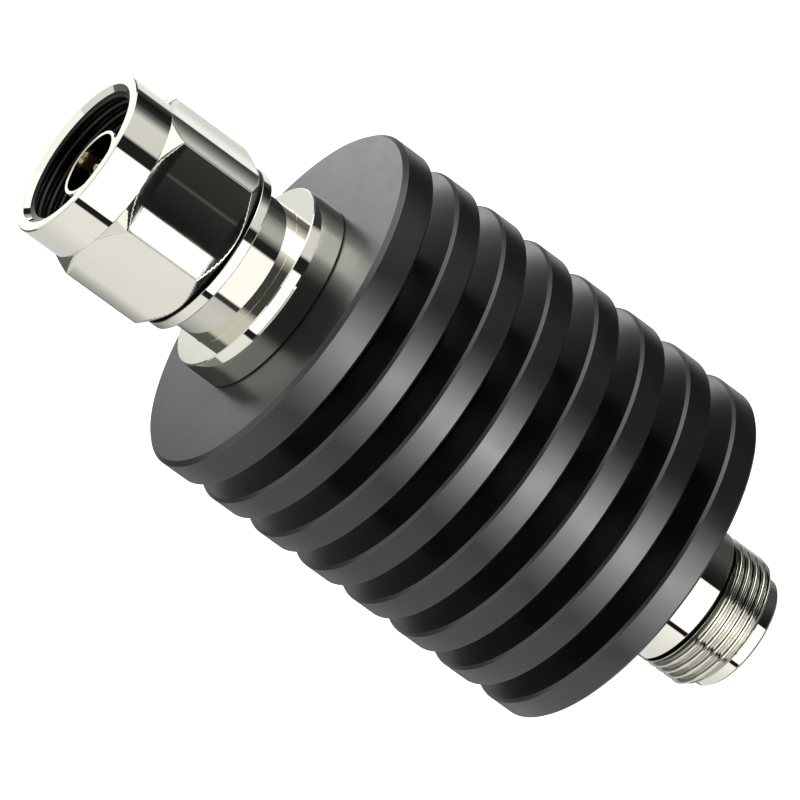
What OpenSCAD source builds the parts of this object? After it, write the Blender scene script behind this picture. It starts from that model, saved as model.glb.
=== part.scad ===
// Fixed coaxial attenuator: a finned heat sink between a threaded plug and a threaded jack.
// It stands on its jack end, with the common axis along +Z and the plug on top. Sizes are in millimetres.

/* [Heat sink] */
// Diameter over the cooling fins
fin_d = 41; // [36:0.5:60]
// Number of disc fins
fin_count = 8; // [6:1:14]
// Distance from one fin to the next
fin_pitch = 6.3; // [5:0.1:9]
// Thickness of a fin with its edge chamfers
fin_t = 3.4; // [2.5:0.1:4]
// Chamfer on the edges of a fin
fin_chamfer = 0.3; // [0.15:0.05:0.9]
// Extra thickness of the fin beside the plug
front_fin_extra = 0.6; // [0:0.1:2]
// Larger chamfer on the front edge of the fin beside the plug
front_chamfer = 0.45; // [0.2:0.05:1.5]
// Wall between the bore and the bottom of the grooves
root_wall = 3.4; // [2:0.1:4.5]
// Thickness of the rear wall that holds the jack
rear_wall = 3; // [2:0.1:4]

/* [Jack] */
// Major diameter of the coupling thread
thread_d = 15.85; // [14:0.05:18]
// Pitch of the coupling thread
thread_pitch = 1.058; // [0.7:0.001:1.4]
// Length of the thread
thread_len = 5.4; // [3.5:0.1:7]
// Diameter of the plain nose in front of the thread
nose_d = 13.4; // [12.4:0.1:14]
// Length of the nose
nose_len = 1.6; // [1:0.1:3]
// Width of the relief groove behind the thread
relief_w = 0.4; // [0.3:0.1:1.2]
// Plain shank between the relief groove and the heat sink
shank_len = 8; // [5:0.1:12]
// Thickness of the flange that seats inside the heat sink
flange_t = 2.2; // [1.5:0.1:4]
// Width of the seat under that flange
flange_lip = 1; // [0.6:0.05:1.5]
// Bore of the jack that takes the mating contact sleeve
jack_bore_d = 8.15; // [7.9:0.01:8.8]
// Depth of that bore
jack_bore_depth = 9.05; // [8:0.05:11]
// Land between that bore and the seat of the bead
jack_land = 2; // [1:0.1:3]
// How far the socket stands back from the end of the nose
socket_recess = 4.3; // [3.5:0.1:5.5]
// Width of the slots between the socket's spring fingers
socket_slot_w = 0.35; // [0.2:0.01:0.6]
// Length of those slots
socket_slot_len = 4; // [3:0.1:5]
// Bevel at the mouth of the jack's bore
mouth_bevel = 0.5; // [0.2:0.05:0.8]

/* [Plug] */
// How much the collar stands over the nut's corners, on the diameter
collar_over = 0.35; // [0.2:0.05:2]
// Thickness of the collar
collar_t = 4; // [2.5:0.1:6]
// Diameter of the neck behind the nut
neck_d = 16.4; // [14.5:0.1:17.5]
// Length of the neck
neck_len = 4.3; // [3:0.1:7]
// Diameter of the journal that the nut turns on
journal_d = 12.5; // [11.6:0.1:13.4]
// Length of the journal
journal_len = 5.6; // [4.5:0.1:8]
// Outside diameter of the contact sleeve
sleeve_d = 8.1; // [7.7:0.05:8.6]
// Length of the contact sleeve in front of the journal
sleeve_len = 10.8; // [9:0.1:12]
// Length of the spigot inside the heat sink
spigot_len = 8; // [5:0.1:12]
// Thickness of the gasket
gasket_t = 1.5; // [0.8:0.1:2.2]
// Room between the contact sleeve and the gasket
gasket_room = 0.65; // [0.3:0.05:0.9]

/* [Coupling nut] */
// How far the nut reaches past the contact sleeve
nut_overhang = 1.7; // [0.5:0.1:2.5]
// Wall of the nut at its mouth
nut_lip = 1.1; // [0.6:0.05:1.6]
// How far the mouth opens over the thread's major diameter
mouth_flare = 1.15; // [0.6:0.05:2]
// How much the turned rings stand over the hexagon's flats, on the diameter
flat_inset = 0.4; // [0.2:0.05:0.8]
// Length of the front ring
front_ring_len = 4.7; // [3:0.1:6]
// Length of the rear rim
rear_rim_len = 1.4; // [0.8:0.1:3]
// Length of the chamfers on the hexagon's corners
hex_chamfer_len = 1.3; // [0.6:0.1:2]
// Thickness of the web that turns on the journal
web_t = 4.7; // [3.8:0.1:5.4]
// Thickness of the snap ring in the web
snap_t = 0.8; // [0.6:0.05:1]
// How far the snap ring reaches into the journal and into the nut
snap_reach = 0.65; // [0.4:0.05:0.9]
// Gap between the ends of the snap ring
snap_split = 2.5; // [1:0.1:4]

/* [Inner line] */
// Bore of the outer conductor
line_bore_d = 7; // [6.5:0.05:7.4]
// Diameter of the inner conductor
line_d = 3.04; // [2.6:0.01:3.4]
// Diameter of the pin's tip
tip_d = 1.65; // [1.4:0.01:1.9]
// How far the pin's shoulder stands back from the end of the contact sleeve
pin_recess = 5.3; // [4.5:0.1:6.5]
// How far the pin's tip stands back from the end of the contact sleeve
tip_recess = 0.6; // [0.2:0.1:2]
// Diameter of the pin's and the socket's tails
tail_d = 1.9; // [1.5:0.05:2.1]
// How far a tail reaches into the inner conductor
tail_len = 4; // [2.5:0.1:5]
// Diameter of the support beads
bead_d = 9; // [8.4:0.05:9.6]
// Thickness of the support beads
bead_t = 3.5; // [2:0.1:4]

/* [Attenuator chip] */
// Length of the chip along the axis
chip_len = 14; // [10:0.5:20]
// Width of the chip
chip_w = 9.6; // [8.6:0.1:10.5]
// Thickness of the chip
chip_t = 0.64; // [0.4:0.01:1]
// Width of the contact tabs
tab_w = 2; // [1.2:0.1:2.4]
// Thickness of the contact tabs
tab_t = 0.2; // [0.1:0.01:0.3]
// Length of a tab on the chip
tab_lap = 2; // [1:0.1:3]
// Free length of a tab between the chip and the inner conductor
tab_free = 1; // [0.5:0.1:2]
// Length of a tab inside the inner conductor
tab_grip = 2; // [1:0.1:3]
// Diameter of the carrier screws
screw_d = 2; // [1.6:0.1:2.2]
// Diameter of the screw heads
screw_head_d = 3.6; // [3:0.1:4]
// Height of the screw heads
screw_head_h = 1.3; // [0.8:0.1:1.6]
// Length of a screw's thread in the base
screw_bite = 3.9; // [2.5:0.1:4.5]
// Least thickness of the cover under a screw head
screw_grip_min = 2.1; // [1.4:0.1:2.6]
// Distance of a screw from the end of the carrier
screw_inset = 4; // [3:0.1:6]
// Wall of the carrier outside the screw heads
carrier_wall = 0.35; // [0.2:0.05:1]

/* [Clearances and edges] */
// Radial clearance of the nut on its journal
running_gap = 0.05; // [0.02:0.01:0.1]
// End float of the nut
end_float = 0.15; // [0.1:0.01:0.3]
// Radial clearance of pieces that are pressed or screwed together
seat_gap = 0.03; // [0.01:0.01:0.06]
// Clearance round the snap ring in the nut's groove
ring_gap = 0.2; // [0.1:0.01:0.25]
// Break on turned edges
edge_break = 0.3; // [0.1:0.05:0.4]

/* [Hidden] */
$fn = 96;
hexagon = 6;
overlap = 1;

nickel = [0.83, 0.82, 0.79];
black_anodise = [0.12, 0.12, 0.13];
gold = [0.84, 0.68, 0.36];
white_plastic = [0.93, 0.93, 0.91];
alumina = [0.88, 0.86, 0.82];
dark_rubber = [0.2, 0.2, 0.2];
spring_steel = [0.6, 0.6, 0.6];

// Heights of the jack, from the end of its nose
thread_z = nose_len;
relief_z = thread_z + thread_len;
shank_z = relief_z + relief_w;
sink_z = shank_z + shank_len;
flange_z = sink_z + rear_wall;
carrier_z = flange_z + flange_t;

// Heights of the heat sink and of the plug
fin_r = fin_d / 2;
sink_len = (fin_count - 1) * fin_pitch + fin_t + front_fin_extra;
sink_top = sink_z + sink_len;
spigot_z = sink_top - spigot_len;
collar_top = sink_top + collar_t;
neck_top = collar_top + neck_len;
journal_top = neck_top + journal_len;
sleeve_top = journal_top + sleeve_len;

// Screws beside the chip
screw_x = chip_w / 2 + screw_d / 2 + edge_break;
screw_head_x = screw_x + screw_head_d / 2;
screw_reach_min = norm([screw_head_x, screw_grip_min + screw_head_h]);

// Bore of the heat sink and the pieces stacked in it
jack_hole_d = thread_d + 2 * seat_gap;
stack_r = max(jack_hole_d / 2 + flange_lip, screw_reach_min + carrier_wall);
sink_bore_d = 2 * (stack_r + seat_gap);
root_r = sink_bore_d / 2 + root_wall;
carrier_len = spigot_z - carrier_z;
screw_heights = [carrier_z + screw_inset, spigot_z - screw_inset];
screw_grip = sqrt(pow(stack_r - carrier_wall, 2) - pow(screw_head_x, 2)) - screw_head_h;
screw_len = screw_grip + screw_bite;

// Thread of the jack: the depth of an inch thread for a pitch of one
thread_depth_ratio = 0.6134;
thread_depth = thread_depth_ratio * thread_pitch;
thread_root_d = thread_d - 2 * thread_depth;

// Coupling nut
nut_z = neck_top + end_float;
nut_top = sleeve_top + nut_overhang;
mouth_d = thread_d + mouth_flare;
ring_d = mouth_d + 2 * nut_lip;
hex_af = ring_d - flat_inset;
hex_ac = hex_af / cos(180 / hexagon);
collar_d = hex_ac + collar_over;
hex_z = nut_z + rear_rim_len;
hex_top = nut_top - front_ring_len;
web_top = nut_z + web_t;
nut_bore_d = journal_d + 2 * running_gap;
nut_thread_d = thread_d + 2 * running_gap;
nut_core_d = hex_af - flat_inset;

// Snap ring between the journal and the nut
snap_d = journal_d + 2 * snap_reach;
snap_inner_d = journal_d - 2 * snap_reach;
snap_z = nut_z + (web_t - snap_t) / 2;

// Support beads, bushings and inner conductors
plug_bead_z = neck_top + edge_break;
plug_bead_top = plug_bead_z + bead_t;
jack_bead_z = jack_bore_depth + jack_land;
jack_bead_top = jack_bead_z + bead_t;
chip_z = carrier_z + (carrier_len - chip_len) / 2;
chip_top = chip_z + chip_len;
input_end = chip_top + tab_free;
output_end = chip_z - tab_free;
socket_bore_d = tip_d + 2 * seat_gap;
tab_slot_w = tab_t + 4 * seat_gap;

// Turned solid with chamfered ends, standing on the height z
module turned_disc(d, z, h, low_chamfer = 0, high_chamfer = 0) {
    r = d / 2;
    rotate_extrude()
        polygon(concat(
            [[0, z]],
            low_chamfer > 0 ? [[r - low_chamfer, z]] : [],
            [[r, z + low_chamfer], [r, z + h - high_chamfer]],
            high_chamfer > 0 ? [[r - high_chamfer, z + h]] : [],
            [[0, z + h]]
        ));
}

// Plain round rod, standing on the height z
module rod(d, z, h) {
    translate([0, 0, z])
        cylinder(d = d, h = h);
}

// Ring between two diameters
module ring(outer_d, inner_d, z, h) {
    difference() {
        rod(outer_d, z, h);
        rod(inner_d, z - overlap, h + 2 * overlap);
    }
}

// Outline of one fin, from its rear face to its front face
function fin_outline(i) =
    let (
        last = i == fin_count - 1,
        rear = sink_z + i * fin_pitch,
        front = rear + fin_t + (last ? front_fin_extra : 0),
        bevel = last ? front_chamfer : fin_chamfer
    )
    concat(
        i == 0 ? [] : [[root_r, rear]],
        [
            [fin_r - fin_chamfer, rear],
            [fin_r, rear + fin_chamfer],
            [fin_r, front - bevel],
            [fin_r - bevel, front]
        ],
        last ? [] : [[root_r, front]]
    );

// One turned bar: a hub with disc fins, a bore for the stack and a smaller hole for the jack
module heat_sink() {
    color(black_anodise)
        rotate_extrude()
            polygon(concat(
                [[jack_hole_d / 2, sink_z]],
                [for (i = [0 : fin_count - 1]) each fin_outline(i)],
                [
                    [sink_bore_d / 2, sink_top],
                    [sink_bore_d / 2, flange_z],
                    [jack_hole_d / 2, flange_z]
                ]
            ));
}

// Spigot, collar, neck, journal and contact sleeve, turned from one bar
module plug_body() {
    color(nickel)
        difference() {
            union() {
                turned_disc(2 * stack_r, spigot_z, spigot_len + edge_break, edge_break);
                turned_disc(collar_d, sink_top, collar_t, edge_break / 2, edge_break);
                rod(neck_d, collar_top - edge_break, neck_len + edge_break);
                turned_disc(journal_d, neck_top - edge_break, journal_len + edge_break, 0, edge_break);
                turned_disc(sleeve_d, journal_top - edge_break, sleeve_len + edge_break, 0, edge_break / 2);
            }
            rod(line_bore_d, spigot_z - overlap, nut_top - spigot_z);
            rod(bead_d, spigot_z - overlap, plug_bead_top - spigot_z + overlap);
            ring(journal_d + overlap, snap_inner_d - 2 * seat_gap, snap_z - seat_gap, snap_t + 2 * seat_gap);
        }
}

// Hexagon whose corners are turned off to cones at both ends
module chamfered_hexagon() {
    cone_rise = (hex_ac - ring_d) / 2;
    hex_len = hex_top - hex_z;
    intersection() {
        translate([0, 0, hex_z])
            cylinder(d = hex_ac, h = hex_len, $fn = hexagon);
        rotate_extrude()
            polygon([
                [0, hex_z],
                [ring_d / 2, hex_z],
                [ring_d / 2 + 2 * cone_rise, hex_z + 2 * hex_chamfer_len],
                [ring_d / 2 + 2 * cone_rise, hex_top - 2 * hex_chamfer_len],
                [ring_d / 2, hex_top],
                [0, hex_top]
            ]);
    }
}

// Nut that turns freely on the journal and screws onto the mating jack
module coupling_nut() {
    flare = (mouth_d - nut_thread_d) / 2;
    color(nickel)
        difference() {
            union() {
                chamfered_hexagon();
                turned_disc(ring_d, nut_z, rear_rim_len, edge_break, 0);
                turned_disc(ring_d, hex_top, front_ring_len, 0, edge_break);
                rod(nut_core_d, nut_z + edge_break, nut_top - nut_z - 2 * edge_break);
            }
            rod(nut_bore_d, nut_z - overlap, web_t + 2 * overlap);
            ring(snap_d + 2 * ring_gap, journal_d, snap_z - ring_gap, snap_t + 2 * ring_gap);
            rotate_extrude()
                polygon([
                    [0, web_top],
                    [nut_thread_d / 2, web_top],
                    [nut_thread_d / 2, nut_top - flare],
                    [mouth_d / 2, nut_top],
                    [mouth_d / 2, nut_top + overlap],
                    [0, nut_top + overlap]
                ]);
        }
}

// Split spring ring that keeps the nut on the journal
module nut_snap_ring() {
    color(spring_steel)
        difference() {
            ring(snap_d, snap_inner_d, snap_z, snap_t);
            translate([0, -snap_split / 2, snap_z - overlap])
                cube([snap_d, snap_split, snap_t + 2 * overlap]);
        }
}

// Flat gasket that the mating jack's nose presses on
module plug_gasket() {
    color(dark_rubber)
        ring(journal_d - 2 * edge_break, sleeve_d + 2 * gasket_room, journal_top, gasket_t);
}

// Pin of the plug, with a tail that passes through its bead
module plug_pin() {
    shoulder = sleeve_top - pin_recess;
    tip = sleeve_top - tip_recess;
    color(gold)
        union() {
            rod(tail_d, plug_bead_z - tail_len, plug_bead_top - plug_bead_z + tail_len + edge_break);
            turned_disc(line_d, plug_bead_top, shoulder - plug_bead_top, 0, edge_break);
            turned_disc(tip_d, shoulder - edge_break, tip - shoulder + edge_break, 0, tip_d / 4);
        }
}

// Socket of the jack: four spring fingers in front, a tail behind
module jack_socket() {
    color(gold)
        difference() {
            union() {
                turned_disc(line_d, socket_recess, jack_bead_z - socket_recess, edge_break, 0);
                rod(tail_d, jack_bead_z - edge_break, bead_t + tail_len + edge_break);
            }
            rod(socket_bore_d, socket_recess - overlap, socket_slot_len + 2 * overlap);
            for (turn = [0, 90])
                rotate([0, 0, turn])
                    translate([-line_d, -socket_slot_w / 2, socket_recess - overlap])
                        cube([2 * line_d, socket_slot_w, socket_slot_len + overlap]);
        }
}

// Insulating bead that centres an inner conductor
module bead(z) {
    color(white_plastic)
        ring(bead_d - 2 * seat_gap, tail_d + 2 * seat_gap, z, bead_t);
}

module plug_bead() {
    bead(plug_bead_z);
}

module jack_bead() {
    bead(jack_bead_z);
}

// Sleeve that holds a bead in its seat and carries the outer conductor on to the carrier
module bushing(z, h) {
    color(nickel)
        ring(bead_d - 2 * seat_gap, line_bore_d, z, h);
}

module plug_bushing() {
    bushing(spigot_z, plug_bead_z - spigot_z);
}

module jack_bushing() {
    bushing(jack_bead_top, carrier_z - jack_bead_top);
}

// Inner conductor with a socket for a tail at one end and a slot for a tab at the other
module conductor(tab_end, tail_end) {
    low = min(tab_end, tail_end);
    high = max(tab_end, tail_end);
    into = tail_end > tab_end ? -1 : 1;
    hole_len = tail_len + edge_break;
    hole_mid = tail_end + into * hole_len / 2;
    slot_mid = tab_end - into * tab_grip / 2;
    color(gold)
        difference() {
            rod(line_d, low, high - low);
            translate([0, 0, hole_mid])
                cylinder(d = tail_d + 2 * seat_gap, h = hole_len + 2 * seat_gap, center = true);
            translate([0, tab_t / 2, slot_mid])
                cube([2 * line_d, tab_slot_w, tab_grip + 2 * edge_break], center = true);
        }
}

module input_conductor() {
    conductor(input_end, plug_bead_z);
}

module output_conductor() {
    conductor(output_end, jack_bead_top);
}

// Thin strip from the chip's end pad into the slot of an inner conductor
module tab(z) {
    color(gold)
        translate([-tab_w / 2, 0, z])
            cube([tab_w, tab_t, tab_lap + tab_free + tab_grip]);
}

module input_tab() {
    tab(chip_top - tab_lap);
}

module output_tab() {
    tab(chip_z - tab_free - tab_grip);
}

// Ceramic chip, held by its two long edges across the bore of the carrier
module attenuator_chip() {
    color(alumina)
        translate([-chip_w / 2, -chip_t, chip_z])
            cube([chip_w, chip_t, chip_len]);
}

// Half of a thick tube, on the side that the sign of y gives
module half_tube(side) {
    intersection() {
        ring(2 * stack_r, line_bore_d, carrier_z, carrier_len);
        translate([-stack_r - overlap, side > 0 ? 0 : -stack_r - overlap, carrier_z - overlap])
            cube([2 * (stack_r + overlap), stack_r + overlap, carrier_len + 2 * overlap]);
    }
}

// Places its child at each carrier screw, with the screw's axis along +Y
module at_carrier_screws() {
    for (x = [-screw_x, screw_x], z = screw_heights)
        translate([x, 0, z])
            rotate([-90, 0, 0])
                children();
}

// Half of the carrier with the pocket for the chip and the tapped holes
module carrier_base() {
    pocket_w = chip_w + 2 * seat_gap;
    pocket_len = chip_len + 2 * seat_gap;
    color(nickel)
        difference() {
            half_tube(-1);
            translate([-pocket_w / 2, -chip_t, chip_z - seat_gap])
                cube([pocket_w, chip_t + overlap, pocket_len]);
            at_carrier_screws()
                translate([0, 0, screw_grip - screw_len - edge_break])
                    cylinder(d = screw_d + 2 * seat_gap, h = screw_len);
        }
}

// Half of the carrier that clamps the chip, with counterbored screw holes
module carrier_cover() {
    color(nickel)
        difference() {
            half_tube(1);
            at_carrier_screws() {
                translate([0, 0, -overlap])
                    cylinder(d = screw_d + 2 * seat_gap, h = screw_grip + 2 * overlap);
                translate([0, 0, screw_grip])
                    cylinder(d = screw_head_d + 2 * edge_break, h = stack_r);
            }
        }
}

// Slotted cheese head screws that pull the two halves of the carrier together
module carrier_screws() {
    slot_w = screw_d / 4;
    color(spring_steel)
        at_carrier_screws()
            translate([0, 0, screw_grip])
                difference() {
                    union() {
                        cylinder(d = screw_head_d, h = screw_head_h);
                        translate([0, 0, -screw_len])
                            cylinder(d = screw_d, h = screw_len + edge_break);
                    }
                    translate([-screw_head_d, -slot_w / 2, screw_head_h / 2])
                        cube([2 * screw_head_d, slot_w, screw_head_h]);
                }
}

// Nose, thread, relief groove, shank and flange, turned from one bar
module jack_body() {
    thread_bevel = thread_depth + edge_break / 2;
    color(nickel)
        difference() {
            union() {
                turned_disc(nose_d, 0, nose_len + edge_break, edge_break, 0);
                turned_disc(thread_d, thread_z, thread_len, thread_bevel, edge_break / 2);
                rod(thread_root_d, thread_z + thread_bevel, shank_z - thread_z);
                turned_disc(thread_d, shank_z, flange_z - shank_z + edge_break, edge_break / 2, 0);
                turned_disc(2 * stack_r, flange_z, flange_t, 0, edge_break / 2);
            }
            rod(line_bore_d, -overlap, carrier_z + 2 * overlap);
            rod(bead_d, jack_bead_z, carrier_z - jack_bead_z + overlap);
            rotate_extrude()
                polygon([
                    [0, -overlap],
                    [jack_bore_d / 2 + mouth_bevel, -overlap],
                    [jack_bore_d / 2 + mouth_bevel, 0],
                    [jack_bore_d / 2, mouth_bevel],
                    [jack_bore_d / 2, jack_bore_depth],
                    [0, jack_bore_depth]
                ]);
        }
}

heat_sink();
plug_body();
coupling_nut();
nut_snap_ring();
plug_gasket();
plug_pin();
plug_bead();
plug_bushing();
input_conductor();
input_tab();
carrier_base();
carrier_cover();
attenuator_chip();
carrier_screws();
output_tab();
output_conductor();
jack_bushing();
jack_bead();
jack_socket();
jack_body();
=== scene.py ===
import bpy
import numpy as np
from mathutils import Matrix, Vector


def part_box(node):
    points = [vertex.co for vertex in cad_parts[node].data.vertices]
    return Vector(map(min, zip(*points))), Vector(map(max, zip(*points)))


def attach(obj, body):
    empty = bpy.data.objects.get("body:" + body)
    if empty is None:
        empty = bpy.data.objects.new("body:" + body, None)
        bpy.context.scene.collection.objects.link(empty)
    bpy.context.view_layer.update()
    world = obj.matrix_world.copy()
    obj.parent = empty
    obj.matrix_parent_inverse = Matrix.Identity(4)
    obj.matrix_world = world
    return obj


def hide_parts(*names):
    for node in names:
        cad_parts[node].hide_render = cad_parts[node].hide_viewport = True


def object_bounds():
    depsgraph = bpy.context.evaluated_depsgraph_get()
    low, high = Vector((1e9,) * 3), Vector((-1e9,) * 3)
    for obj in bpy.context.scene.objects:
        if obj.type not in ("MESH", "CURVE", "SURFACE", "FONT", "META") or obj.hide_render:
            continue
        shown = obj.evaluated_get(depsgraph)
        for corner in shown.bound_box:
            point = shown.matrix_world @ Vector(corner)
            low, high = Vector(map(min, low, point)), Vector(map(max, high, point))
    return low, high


# %% [markdown]
# This lesson dresses a fixed coaxial attenuator: a finned black heat sink with a threaded jack at
# its foot and a plug with a hexagon coupling nut on its head. The exact solids come from the CAD
# model and stay where they are. Blender adds what a solid leaves out: helical threads, broken
# edges, plating, anodising and studio light.

# %% Load the frame
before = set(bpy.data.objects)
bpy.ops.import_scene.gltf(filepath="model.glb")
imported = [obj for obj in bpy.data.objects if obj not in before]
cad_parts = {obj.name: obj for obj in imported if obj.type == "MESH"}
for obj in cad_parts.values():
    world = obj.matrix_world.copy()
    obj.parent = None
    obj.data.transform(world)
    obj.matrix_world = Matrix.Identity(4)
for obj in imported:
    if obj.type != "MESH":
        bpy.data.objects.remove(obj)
cad_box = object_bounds()
MM = 0.001
cad_size = [round(x / MM, 2) for x in cad_box[1] - cad_box[0]]
print("CAD nodes:", len(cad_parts), "box in mm:", cad_size)

# %% [markdown]
# Almost every piece here was cut on a lathe, so its shape is one outline turned about the axis.
# Blender's Screw modifier could do that, but it knows nothing of threads or hexagons. A grid of
# points does: rows follow the outline, columns go round the axis, and a formula may change the
# radius at any point of the grid. The same grid gives the shading normals.


# %% A closed skin over a grid of points
def skin(name, points, body, node, edge=0.0, painted_shade=0.0, solid=False):
    """Mesh over a grid of shape (rows, columns, 3), joined round the axis.

    The rows are joined last to first, or with solid each end row is closed to a point on the axis.
    Normal of a point = (next column - previous column) x (next row - previous row).
    edge and the argument after it give rows or points a number from 0 to 1, kept as attributes: how far
    it is a worn edge, and how far it lies in a narrow groove or cavity whose colour is painted dark as
    shade.
    """
    rows, columns = points.shape[:2]
    round_axis = np.roll(points, -1, 1) - np.roll(points, 1, 1)
    along = np.roll(points, -1, 0) - np.roll(points, 1, 0)
    normals = np.cross(round_axis, along).reshape(-1, 3)
    here = np.arange(rows * columns).reshape(rows, columns)
    beside, above = np.roll(here, -1, 1), np.roll(here, -1, 0)
    quads = np.stack([here, beside, np.roll(beside, -1, 0), above], -1)
    quads = quads[:-1] if solid else quads
    corners, places = quads.reshape(-1), points.reshape(-1, 3)
    sizes = np.full(quads[..., 0].size, 4)
    if solid:
        poles = rows * columns + np.arange(2)
        low = np.stack([np.full(columns, poles[0]), np.roll(here[0], -1), here[0]], -1)
        high = np.stack([np.full(columns, poles[1]), here[-1], np.roll(here[-1], -1)], -1)
        corners = np.concatenate([corners, low.reshape(-1), high.reshape(-1)])
        sizes = np.concatenate([sizes, np.full(2 * columns, 3)])
        places = np.concatenate([places, points[[0, -1]].mean(1)])
        inner = np.cross(round_axis, np.gradient(points, axis=0))
        normals = np.concatenate([inner.reshape(-1, 3), [(0, 0, -1), (0, 0, 1)]])
    mesh = bpy.data.meshes.new(name)
    mesh.vertices.add(len(places))
    mesh.vertices.foreach_set("co", places.reshape(-1))
    mesh.loops.add(len(corners))
    mesh.loops.foreach_set("vertex_index", corners.astype(np.int32))
    mesh.polygons.add(len(sizes))
    mesh.polygons.foreach_set("loop_start", (np.cumsum(sizes) - sizes).astype(np.int32))
    mesh.update(calc_edges=True)
    mesh.polygons.foreach_set("use_smooth", np.ones(len(sizes), bool))
    normals /= np.linalg.norm(normals, axis=1, keepdims=True)
    mesh.normals_split_custom_set_from_vertices(normals)
    # The second attribute marks where the colour is painted dark as shade.
    for title, marks in (("edge", edge), ("painted_shade", painted_shade)):
        values = np.zeros(len(places), np.float32)
        marks = np.reshape(marks, (-1, 1)) if np.ndim(marks) == 1 else marks
        values[: rows * columns] = np.broadcast_to(marks, (rows, columns)).ravel()
        mesh.attributes.new(title, "FLOAT", "POINT").data.foreach_set("value", values)
    piece = bpy.data.objects.new(name, mesh)
    bpy.context.scene.collection.objects.link(piece)
    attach(piece, body)
    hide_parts(node)
    print(name, "faces:", len(sizes))
    return piece


# %% [markdown]
# No real edge is perfectly sharp, and the thin light line on a broken edge is what makes metal look
# like metal. A Bevel modifier could round the edges of a finished mesh; here the outline is rounded
# before it is turned. A mirror shows a tilt of a tenth of a degree, so each arc has a guard point
# on the wall at either end, which keeps the wall's normals square to it.

# %% An outline with broken edges
ARC_STEPS = 4
CORNER_ROWS = ARC_STEPS + 3
MOST_OF_SIDE = 0.45
GUARD, GUARD_MOST = 1.2, 0.48


def broken(corners, radius):
    """Closed outline of (r, z) corners, each rounded to an arc; returns points and edge numbers.

    With unit directions a and b from a corner to its neighbours and half their angle h, the arc's
    centre lies radius / sin h along a + b, and the arc starts and ends radius / tan h from the
    corner. A guard point lies a little beyond each end, GUARD times as far from the corner.
    """
    corners = np.asarray(corners, float)
    to_last, to_next = np.roll(corners, 1, 0) - corners, np.roll(corners, -1, 0) - corners
    len_last, len_next = np.linalg.norm(to_last, axis=1), np.linalg.norm(to_next, axis=1)
    a, b = to_last / len_last[:, None], to_next / len_next[:, None]
    half = np.arccos(np.clip((a * b).sum(1), -1, 1)) / 2
    reach = np.minimum(radius / np.tan(half), MOST_OF_SIDE * np.minimum(len_last, len_next))
    fitted = reach * np.tan(half)
    middle = (a + b) / np.linalg.norm(a + b, axis=1, keepdims=True)
    centre = corners + middle * (fitted / np.sin(half))[:, None]
    start, end = corners + a * reach[:, None] - centre, corners + b * reach[:, None] - centre
    sweep = (np.pi - 2 * half)[:, None]
    share = np.linspace(0, 1, ARC_STEPS + 1)[None]
    first = np.sin((1 - share) * sweep) / np.sin(sweep)
    second = np.sin(share * sweep) / np.sin(sweep)
    arcs = centre[:, None] + first[..., None] * start[:, None] + second[..., None] * end[:, None]
    lead_in = corners + a * np.minimum(GUARD * reach, GUARD_MOST * len_last)[:, None]
    lead_out = corners + b * np.minimum(GUARD * reach, GUARD_MOST * len_next)[:, None]
    points = np.concatenate([lead_in[:, None], arcs, lead_out[:, None]], 1)
    edge = np.tile(np.concatenate([[0], np.sin(np.pi * share[0]), [0]]), len(corners))
    return points.reshape(-1, 2), edge


# %% Turning an outline about the axis
COLUMNS = 192
TURN = np.linspace(0, 2 * np.pi, COLUMNS, endpoint=False)


def turned(radius, height, angle=TURN):
    """Points (radius cos u, radius sin u, height) in metres; radius may change with the angle u."""
    grid = (len(height), len(angle))
    radius = np.broadcast_to(radius if np.ndim(radius) == 2 else np.reshape(radius, (-1, 1)), grid)
    level = np.broadcast_to(np.reshape(height, (-1, 1)), grid)
    return np.stack([radius * np.cos(angle), radius * np.sin(angle), level], -1) * MM


# %% [markdown]
# The heat sink is one aluminium bar, bored through and grooved to eight disc fins. A modeller could
# array one fin and join it to a tube, but the real one is a single cut outline, so the outline is
# written out once: rear face, eight chamfered fins with the grooves between them, front face and
# bore. A tool with a small nose leaves a radius of a few tenths of a millimetre in each groove, and
# the fin edges are just broken.

# %% Heat sink
SINK_LOW, SINK_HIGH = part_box("heat_sink")[0].z / MM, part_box("heat_sink")[1].z / MM
FIN_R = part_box("heat_sink")[1].x / MM
FINS, FIN_PITCH, FIN_T, FIN_CHAMFER, FRONT_CHAMFER = 8, 6.3, 3.4, 0.3, 0.45
GROOVE_R, SINK_BORE_R, JACK_HOLE_R, REAR_WALL = 12.385, 8.985, 7.955, 3.0
GROOVE_ROUND, FIN_ROUND, WORN_BAND = 0.35, 0.07, 1.0

fin = np.arange(FINS)
rear = SINK_LOW + fin * FIN_PITCH
front = np.where(fin < FINS - 1, rear + FIN_T, SINK_HIGH)
bevel = np.where(fin < FINS - 1, FIN_CHAMFER, FRONT_CHAMFER)
fin_corners = np.stack([
    np.stack([np.full(FINS, GROOVE_R), rear], -1),
    np.stack([np.full(FINS, FIN_R - FIN_CHAMFER), rear], -1),
    np.stack([np.full(FINS, FIN_R), rear + FIN_CHAMFER], -1),
    np.stack([np.full(FINS, FIN_R), front - bevel], -1),
    np.stack([FIN_R - bevel, front], -1),
    np.stack([np.full(FINS, GROOVE_R), front], -1),
], 1).reshape(-1, 2)[1:-1]
bore_corners = [
    (SINK_BORE_R, SINK_HIGH), (SINK_BORE_R, SINK_LOW + REAR_WALL),
    (JACK_HOLE_R, SINK_LOW + REAR_WALL),
]
sink_corners = np.concatenate([[(JACK_HOLE_R, SINK_LOW)], fin_corners, bore_corners])
in_groove = np.isclose(sink_corners[:, 0], GROOVE_R)
outline, edge = broken(sink_corners, np.where(in_groove, GROOVE_ROUND, FIN_ROUND))
edge = edge * (outline[:, 0] > FIN_R - WORN_BAND)
heat_sink = skin(
    "heat_sink_fins", turned(*outline.T), "body", "heat_sink", edge)

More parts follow.
